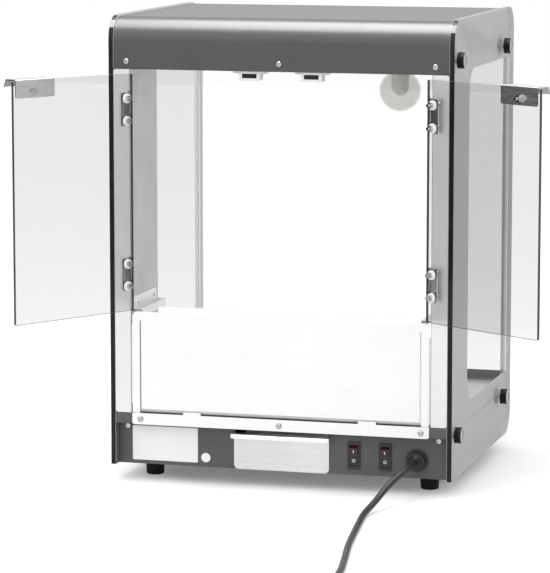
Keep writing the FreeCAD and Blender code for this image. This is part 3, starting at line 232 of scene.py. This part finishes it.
def two_colours(name, axis, split, upper, lower, rough):
    """glossy moulding or fired print in two colours that meet in a sharp line across one axis"""
    def build(tree):
        place = add(tree, "ShaderNodeTexCoord")
        apart = add(tree, "ShaderNodeSeparateXYZ", links={0: place.outputs["Object"]})
        above = add(tree, "ShaderNodeMath", {"operation": "GREATER_THAN"}, {1: split},
                    {0: apart.outputs[axis]})
        return surface(tree, above.outputs[0], grain(tree, 0.6 * MM), (lower, upper),
                       (rough - 0.05, rough + 0.05), relief=(0.01 * MM, 0.4))

    return new_material(name, build)


def dress(material, *names):
    """puts one material on CAD nodes, in place of their plain ones"""
    for name in names:
        mesh = nodes[name].data
        mesh.materials.clear()
        mesh.materials.append(material)


def dress_part(name, material, chosen):
    """one more material, on the faces of a node that a test picks"""
    mesh = nodes[name].data
    mesh.materials.append(material)
    index = len(mesh.materials) - 1
    for polygon in mesh.polygons:
        if chosen(polygon):
            polygon.material_index = index


def dress_pane(name, face, edge):
    """glass on the two broad faces of a pane, and another material all round its edge"""
    dress(face, name)
    broad = max(nodes[name].data.polygons, key=lambda polygon: polygon.area).normal.copy()
    dress_part(name, edge, lambda polygon: abs(polygon.normal.dot(broad)) <= SQUARE_ON)
    return broad


def both(*names):
    return [side + "_" + name for side in ("left", "right") for name in names]


def make_camera():
    data = bpy.data.cameras.new("camera")
    data.sensor_width = SENSOR
    data.lens = FOCAL_PIXELS * SENSOR / PHOTO_HEIGHT
    data.clip_end = CAMERA_REACH
    camera = bpy.data.objects.new("camera", data)
    camera.location = CAMERA_AT
    camera.rotation_euler = (math.radians(90 - CAMERA_PITCH), 0, math.radians(CAMERA_YAW))
    bpy.context.scene.collection.objects.link(camera)
    bpy.context.scene.camera = camera


def coil_points():
    """the turns that the camera doesn't see: a flat spiral in, a climb, and a spiral out on top of it"""
    points = []
    x, y, z = CORD_POINTS[-1]
    diameter = 2 * CORD_RADIUS / MM
    step = (diameter + COIL_GAP) / 2
    y -= diameter
    radius, way = COIL_RADIUS, 1
    turn = math.pi / COIL_POINTS_PER_HALF
    # the curve runs inside its control points, so they stand out by this much
    bulge = 1 / (0.75 + 0.25 * math.cos(turn))
    for half in range(2 * COIL_HALF_TURNS + 1):
        middle = x + radius * way
        climb = diameter + COIL_GAP if half == COIL_HALF_TURNS else 0
        last = half == 2 * COIL_HALF_TURNS
        count = COIL_POINTS_PER_HALF // 2 if last else COIL_POINTS_PER_HALF
        for k in range(count):
            angle = (k + 0.5) * turn
            points.append((middle - way * radius * bulge * math.cos(angle),
                           y - way * radius * bulge * math.sin(angle),
                           z + climb * (k + 0.5) / COIL_POINTS_PER_HALF))
        z += climb
        if last:
            x, y = middle, y - way * radius
        else:
            x = middle + radius * way
        way = -way
        radius += -step if half < COIL_HALF_TURNS else step
    # a straight tail that climbs to the plug's axis
    tail = TAIL_LENGTH
    points += [(x + tail * 0.1, y, z), (x + tail * 0.35, y, z), (x + tail * 0.65, y, PLUG_AXIS),
               (x + tail * 0.95, y, PLUG_AXIS), (x + tail + diameter, y, PLUG_AXIS)]
    return points


def make_cord(material):
    """one round curve from the gland to the plug"""
    points = list(CORD_POINTS) + coil_points()
    curve = bpy.data.curves.new("mains_cord", "CURVE")
    curve.dimensions = "3D"
    curve.bevel_depth = CORD_RADIUS
    curve.bevel_resolution = 5
    curve.use_fill_caps = True
    spline = curve.splines.new("NURBS")
    spline.points.add(len(points) - 1)
    for point, (x, y, z) in zip(spline.points, points):
        point.co = (x * MM, y * MM + SERVICE_FACE, z * MM, 1)
    spline.order_u = 3
    spline.use_endpoint_u = True
    spline.resolution_u = 8
    curve.materials.append(material)
    piece = bpy.data.objects.new("mains_cord", curve)
    bpy.context.scene.collection.objects.link(piece)
    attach(piece, "cabinet")
    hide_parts("cord", "cord_coil")
    x, y, z = CORD_POINTS[0]


def new_mesh(name, vertices, faces, material):
    mesh = bpy.data.meshes.new(name)
    mesh.from_pydata(vertices, [], faces)
    mesh.materials.append(material)
    mesh.update()
    piece = bpy.data.objects.new(name, mesh)
    bpy.context.scene.collection.objects.link(piece)
    return piece


def make_marks(node, body, paint):
    """a light dash on the upper half of a rocker and a ring on its lower half, printed slightly proud"""
    low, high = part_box(node)
    x = (low.x + high.x) / 2
    pivot_y, pivot_z = pivots[body][1:]

    def on_face(u, v, upper, out):
        # u across, v up from the middle of that half, out from the face
        tilt = math.radians(UPPER_TILT) if upper else 0.0
        middle = UPPER_HALF if upper else LOWER_HALF
        y = pivot_y + middle[0] * MM - v * math.sin(tilt) - out * math.cos(tilt)
        z = pivot_z + middle[1] * MM + v * math.cos(tilt) - out * math.sin(tilt)
        return (x + u, y, z)

    wide, tall = DASH_HALF
    corners = [(-wide, -tall), (wide, -tall), (wide, tall), (-wide, tall)]
    dash = [on_face(u, v, True, out) for out in (0, MARK_PROUD) for u, v in corners]
    dash_faces = [(4, 5, 6, 7)] + [(k, (k + 1) % 4, (k + 1) % 4 + 4, k + 4) for k in range(4)]
    ring, ring_faces = [], []
    rim = ((RING_OUTER, 0), (RING_OUTER, MARK_PROUD), (RING_INNER, MARK_PROUD), (RING_INNER, 0))
    for k in range(RING_SIDES):
        angle = 2 * math.pi * k / RING_SIDES
        for radius, out in rim:
            ring.append(on_face(radius * math.cos(angle), radius * math.sin(angle), False, out))
        here, there = 4 * k, 4 * ((k + 1) % RING_SIDES)
        ring_faces += [(here + i, there + i, there + i + 1, here + i + 1) for i in range(3)]
    for name, vertices, faces in (("_dash", dash, dash_faces), ("_ring", ring, ring_faces)):
        piece = new_mesh(node + name, vertices, faces, paint)
        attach(piece, body)


def make_floor():
    """white sweep that keeps the object's shadow; its own light for the eye lifts it to white.
    That light is least under the cabinet, most round it, and less again far away, so that the
    floor is only just white behind the tinted glass. Distances are in metres from the middle."""
    half_size = 6.0
    rise_from, rise_to, fall_from, fall_to = 0.20, 0.60, 0.70, 1.30
    least, rise_by, fall_by, in_gloss = 0.17, 0.24, 0.10, 0.16

    def build(tree):
        speckle = grain(tree, 40 * MM)
        matt = add(tree, "ShaderNodeBsdfDiffuse", links={"Color": between(tree, speckle, "F6F6F6", "FAFAFA")})
        place = add(tree, "ShaderNodeTexCoord")
        away = add(tree, "ShaderNodeVectorMath", {"operation": "LENGTH"}, links={0: place.outputs["Object"]})
        near = add(tree, "ShaderNodeMapRange", values={"From Min": rise_from, "From Max": rise_to},
                   links={"Value": away.outputs["Value"]})
        rise = add(tree, "ShaderNodeMath", {"operation": "POWER"}, {1: 0.5}, {0: near.outputs["Result"]})
        glow = add(tree, "ShaderNodeMath", {"operation": "MULTIPLY_ADD"}, {1: rise_by, 2: least},
                   {0: rise.outputs[0]})
        fall = add(tree, "ShaderNodeMapRange", links={"Value": away.outputs["Value"]},
                   values={"From Min": fall_from, "From Max": fall_to, "To Max": fall_by})
        glow = add(tree, "ShaderNodeMath", {"operation": "SUBTRACT"},
                   links={0: glow.outputs[0], 1: fall.outputs["Result"]})
        path = add(tree, "ShaderNodeLightPath")
        seen = add(tree, "ShaderNodeMath", {"operation": "MULTIPLY"},
                   links={0: path.outputs["Is Camera Ray"], 1: glow.outputs[0]})
        lift = add(tree, "ShaderNodeMath", {"operation": "MULTIPLY_ADD"}, {1: in_gloss},
                   {0: path.outputs["Is Glossy Ray"], 2: seen.outputs[0]})
        light = add(tree, "ShaderNodeEmission", links={"Strength": lift.outputs[0]})
        return add(tree, "ShaderNodeAddShader", links={0: matt.outputs[0], 1: light.outputs[0]})

    h = half_size
    floor = new_mesh("floor", [(-h, -h, 0), (h, -h, 0), (h, h, 0), (-h, h, 0)], [(0, 1, 2, 3)],
                     new_material("white_painted_floor", build))


def make_flag():
    """black card at the left, out of the picture, that only shiny surfaces see: it gives them a dark side"""
    def build(tree):
        weave = grain(tree, 3 * MM)
        return add(tree, "ShaderNodeBsdfDiffuse", links={"Color": between(tree, weave, "060606", "0C0C0C")})

    x, front, back, top = -1.7, -1.25, 0.15, 1.4
    flag = new_mesh("flag", [(x, front, 0), (x, back, 0), (x, back, top), (x, front, top)], [(0, 1, 2, 3)],
                    new_material("black_flag_cloth", build))
    for ray in ("camera", "diffuse", "transmission", "volume_scatter", "shadow"):
        setattr(flag, "visible_" + ray, False)


def softbox(name, at, aim, width, height, power, sheen_only=False):
    data = bpy.data.lights.new(name, "AREA")
    data.shape = "RECTANGLE"
    data.size, data.size_y = width, height
    data.energy = power
    lamp = bpy.data.objects.new(name, data)
    lamp.location = at
    lamp.rotation_euler = (Vector(aim) - Vector(at)).to_track_quat("-Z", "Y").to_euler()
    lamp.visible_diffuse = not sheen_only
    bpy.context.scene.collection.objects.link(lamp)


def make_light():
    """white room: white to the eye, in gloss and through glass, and a softer fill on matt surfaces.
    The sheen softbox shows in shiny surfaces only, as the band of light on the cover's bend."""
    matt_fill, white = 0.84, 1.0
    world = bpy.data.worlds.new("white_room")
    bpy.context.scene.world = world
    world.use_nodes = True
    tree = world.node_tree
    tree.nodes.clear()
    path = add(tree, "ShaderNodeLightPath")
    seen = path.outputs["Is Camera Ray"]
    for ray in ("Is Glossy Ray", "Is Transmission Ray"):
        brighter = add(tree, "ShaderNodeMath", {"operation": "MAXIMUM"},
                       links={0: seen, 1: path.outputs[ray]})
        seen = brighter.outputs[0]
    level = add(tree, "ShaderNodeMapRange", values={"To Min": matt_fill, "To Max": white},
                links={"Value": seen})
    room = add(tree, "ShaderNodeBackground", values={"Color": (1, 1, 1, 1)},
               links={"Strength": level.outputs["Result"]})
    add(tree, "ShaderNodeOutputWorld", links={"Surface": room.outputs[0]})
    middle = (0, 0, CABINET_TOP / 2)
    softbox("overhead_softbox", (-0.3, -0.5, 2.4), middle, width=1.6, height=1.6, power=14)
    softbox("service_side_softbox", (-0.9, -2.8, 1.8), middle, width=2.0, height=2.0, power=9)
    softbox("sheen_softbox", (0.1, -0.19, 2.08), (0.1, -0.19, 0), width=1.8, height=1.68, power=88,
            sheen_only=True)


def dress_steel():
    """brushed stainless sheet: pale grey with soft streaks, with painted shade where it turns from the light
    """
    sheet = brushed("brushed_stainless_sheet", "ECECEB", "F4F4F3", "x", 0.34)
    dress(brushed("brushed_stainless_posts", "DEDEDD", "ECECEB", "z", 0.36), *both("rear_post"))
    # the sideways faces of the posts get a darker copy of the same steel: painted shade
    shaded_leg_steel = brushed("brushed_stainless_legs_painted_shade", "A8A8A7", "C2C2C1", "z", 0.40)
    for name in both("rear_post"):
        dress_part(name, shaded_leg_steel, lambda polygon: abs(polygon.normal.x) > SQUARE_ON)
    dress(sheet, "gate_panel", "sill_strip")
    # the gate's lower bend turns down to the counter; a grey matt coat on the same steel there is painted
    # shade
    bend_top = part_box("gate_panel")[0].z + 8 * MM
    dress_part("gate_panel", coated("painted_shade_steel_bend", "C0C0BF", "CECECD", 0.5), lambda polygon:
               polygon.normal.z < -0.2 and polygon.normal.y < 0 and polygon.center.z < bend_top)
    # the tray's front is brushed coarser than its bright pull, which is the same sheet, and drawn darker as
    # painted shade below the sill
    dress(brushed("brushed_stainless_tray_painted_shade", "CCCCCB", "E2E2E1", "x", 0.36, 1.3 * MM), "tray_front")
    pull_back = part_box("tray_front")[0].y + 9 * MM
    dress_part("tray_front", sheet, lambda polygon: polygon.center.y < pull_back)
    dress(brushed("brushed_stainless_deck", "D6D6D4", "E8E8E6", "x", 0.36), "deck_plate", "crumb_tray",
          *both("side_ledge"))
    dress(brushed("stamped_stainless_hinge", "D0D0CF", "E6E6E5", "z", 0.30, 0.6 * MM), "hinge_leaves",
          *both("door_leaves"))
    dress(brushed("stamped_stainless_handle", "B8B8B8", "D4D4D4", "xy", 0.28, 0.6 * MM), *both("door_handle"))
    dress(brushed("heat_dulled_sheath", "5C5753", "77706A", "y", 0.42), "heating_element")


def dress_glass():
    """clear panes with edges painted dark as shade or left clear and polished, the grey fired print, and the
    milky globe
    """
    clear_edge = frosted("polished_glass_edge", "E2E5E4", "EEF0EF", 0.55)
    grey_print = coated("fired_grey_print", "F6F6F7", "FCFCFD", 0.45, 0.8 * MM)
    dress(grey_print, *both("side_print"))
    # its inner face is painted dark in the recess before the base panel, as painted shade of the recess
    print_back_painted_shade = two_colours("fired_print_with_painted_recess_shade", "Y", SERVICE_FACE + BASE_RECESS,
                             "F6F6F7", "626364", 0.45)
    # the print lies on the inner skin of a side glass, so only the outer skin has the tint, all of it
    side_glass = pane("toughened_side_glass", "DCDDDD", 0.26)
    inner_skin = pane("side_glass_inner_skin", "FFFFFF", 0.0)
    shaded_glass_edge = coated("side_glass_edge_painted_shade", "0E1010", "1C1E1E", 0.30, level=0.22)

    def on_edge(polygon):
        return abs(polygon.normal.x) <= SQUARE_ON

    def is_dark(polygon):
        # the edge is painted dark on the service side and on the steep part of the bends beside it, as
        # painted shade; the clear edge left between them on the bend is a painted highlight
        return on_edge(polygon) and (polygon.normal.y < -0.88 or -0.6 < polygon.normal.y < -0.26)

    def is_printed(polygon):
        # the customer-side and the lower edge show the print behind them
        return on_edge(polygon) and (polygon.normal.y > 0.26 or polygon.normal.z < -SQUARE_ON)

    for side, inward in (("left", 1), ("right", -1)):
        dress_part(side + "_side_print", print_back_painted_shade, lambda polygon: polygon.normal.x * inward > SQUARE_ON)
        name = side + "_side_glass"
        dress_pane(name, side_glass, clear_edge)
        dress_part(name, shaded_glass_edge, is_dark)
        dress_part(name, inner_skin, lambda polygon: polygon.normal.x * inward > SQUARE_ON)
        dress_part(name, grey_print, is_printed)
    door_glass = pane("toughened_door_glass", "EFEFEF", 0.35)
    # the door edges are painted dark grey as shade, except the ones that face up, which stay clear
    door_edge = coated("door_glass_edge_painted_shade", "3C3F3E", "505453", 0.30, level=0.3)
    for name in both("door_glass"):
        broad = dress_pane(name, door_glass, clear_edge)
        dress_part(name, door_edge, lambda polygon:
                   abs(polygon.normal.dot(broad)) <= SQUARE_ON and polygon.normal.z < SQUARE_ON)
    dress_pane("front_glass", pane("clear_chamber_glass", "FEFEFE", 0.15), clear_edge)
    dress(frosted("clear_corner_strip", "E6E8E7", "F0F2F1", 0.6), "front_glass_strips")
    dress(frosted("frosted_opal_globe", "F8F8F6", "FEFEFC", 0.86), "lamp_globe")


def dress_coats_and_plating():
    """grey sprayed sheet with a fine peel and a broad sheen, and bright or dull plated steel"""
    dress(coated("satin_grey_cover_coat", "343536", "3A3B3C", 0.36, ior=1.7), "top_cover")
    dress(coated("dark_grey_powder_coat", "505051", "585859", 0.50), "base_panel", "base_pan", "front_skirt")
    dress(plated("galvanised_liner", "A8AAAB", "C2C4C5", 0.45), "roof_liner", "heater_saddles", "thermostat")
    dress(plated("bright_zinc_screws", "A8A8A8", "D8D8D8", 0.14), "panel_screws", "small_screws",
          "foot_screws", "stud_nuts", "hinge_pins", "gland_locknut", *both("door_screws"))
    # the slots and rims of the panel's screw heads lie in shade
    inside = CABINET_SIDE - 1.5 * MM
    dress_part("panel_screws", plated("shadowed_screw_recess", "303030", "484848", 0.35), lambda polygon:
               abs(polygon.center.x) < inside and polygon.center.y < SERVICE_FACE + BASE_RECESS
               and polygon.normal.y > -0.6)
    dress(plated("ferrite_magnet", "2C2C2D", "3A3A3B", 0.5), "catch_magnets")


def dress_plastics():
    """moulded nylon, plastic and rubber: even colour and a soft or a dull skin"""
    dress(coated("white_nylon_washers", "EDEDEA", "F6F6F4", 0.42, 0.5 * MM), "magnet_catches",
          *both("door_washers"))
    dress(coated("white_lamp_moulding", "F6F6F4", "FEFEFC", 0.38), "lamp_holder", "lamp_bulb")
    dress(coated("off_white_terminal_moulding", "CFCDC4", "DAD8CF", 0.5), "terminal_block")
    dress(coated("bare_white_label_film", "F6F6F6", "FDFDFD", 0.38, 0.9 * MM, 0.006 * MM), "label_plate",
          "round_sticker")
    dress(coated("black_moulded_plastic", "242425", "2E2E2F", 0.42, 0.5 * MM, level=0.45), "cord_gland",
          "lamp_switch_body", "heat_switch_body")
    dress(coated("black_knob_plastic", "101011", "1A1A1B", 0.38, 0.5 * MM, level=0.22), "thumb_knobs")
    # the flat ends of the knobs on the right look grey, because they face the light
    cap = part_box("thumb_knobs")[1].x - 0.6 * MM
    dress_part("thumb_knobs", coated("grey_knob_cap", "A2A2A3", "B0B0B1", 0.3, 0.5 * MM),
               lambda polygon: polygon.normal.x > 0.9 and polygon.center.x > cap)
    dress(coated("black_moulded_rubber", "101010", "181818", 0.62, 0.7 * MM, 0.03 * MM, level=0.2), "feet",
          "knob_washers")
    dress(coated("black_plug_moulding", "1E1E1F", "2A2A2B", 0.48, 0.5 * MM), "plug")
    # dark red above the pivot and black below it
    lamp_low, lamp_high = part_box("lamp_rocker")
    pivot_height = (lamp_low.z + lamp_high.z) / 2
    dress(two_colours("two_colour_rocker_moulding", "Z", pivot_height, "401014", "1C1C1D", 0.27),
          "lamp_rocker", "heat_rocker")


make_camera()
make_cord(coated("black_pvc_cord_jacket", "202021", "2B2B2C", 0.40, 1.0 * MM, level=0.4))
dress_steel()
dress_glass()
dress_coats_and_plating()
dress_plastics()
paint = coated("white_pad_print", "D8D8D6", "E8E8E6", 0.5)
make_marks("lamp_rocker", "lamp_switch", paint)
make_marks("heat_rocker", "heat_switch", paint)
make_floor()
make_flag()
make_light()
bpy.context.scene.view_settings.view_transform = "Standard"
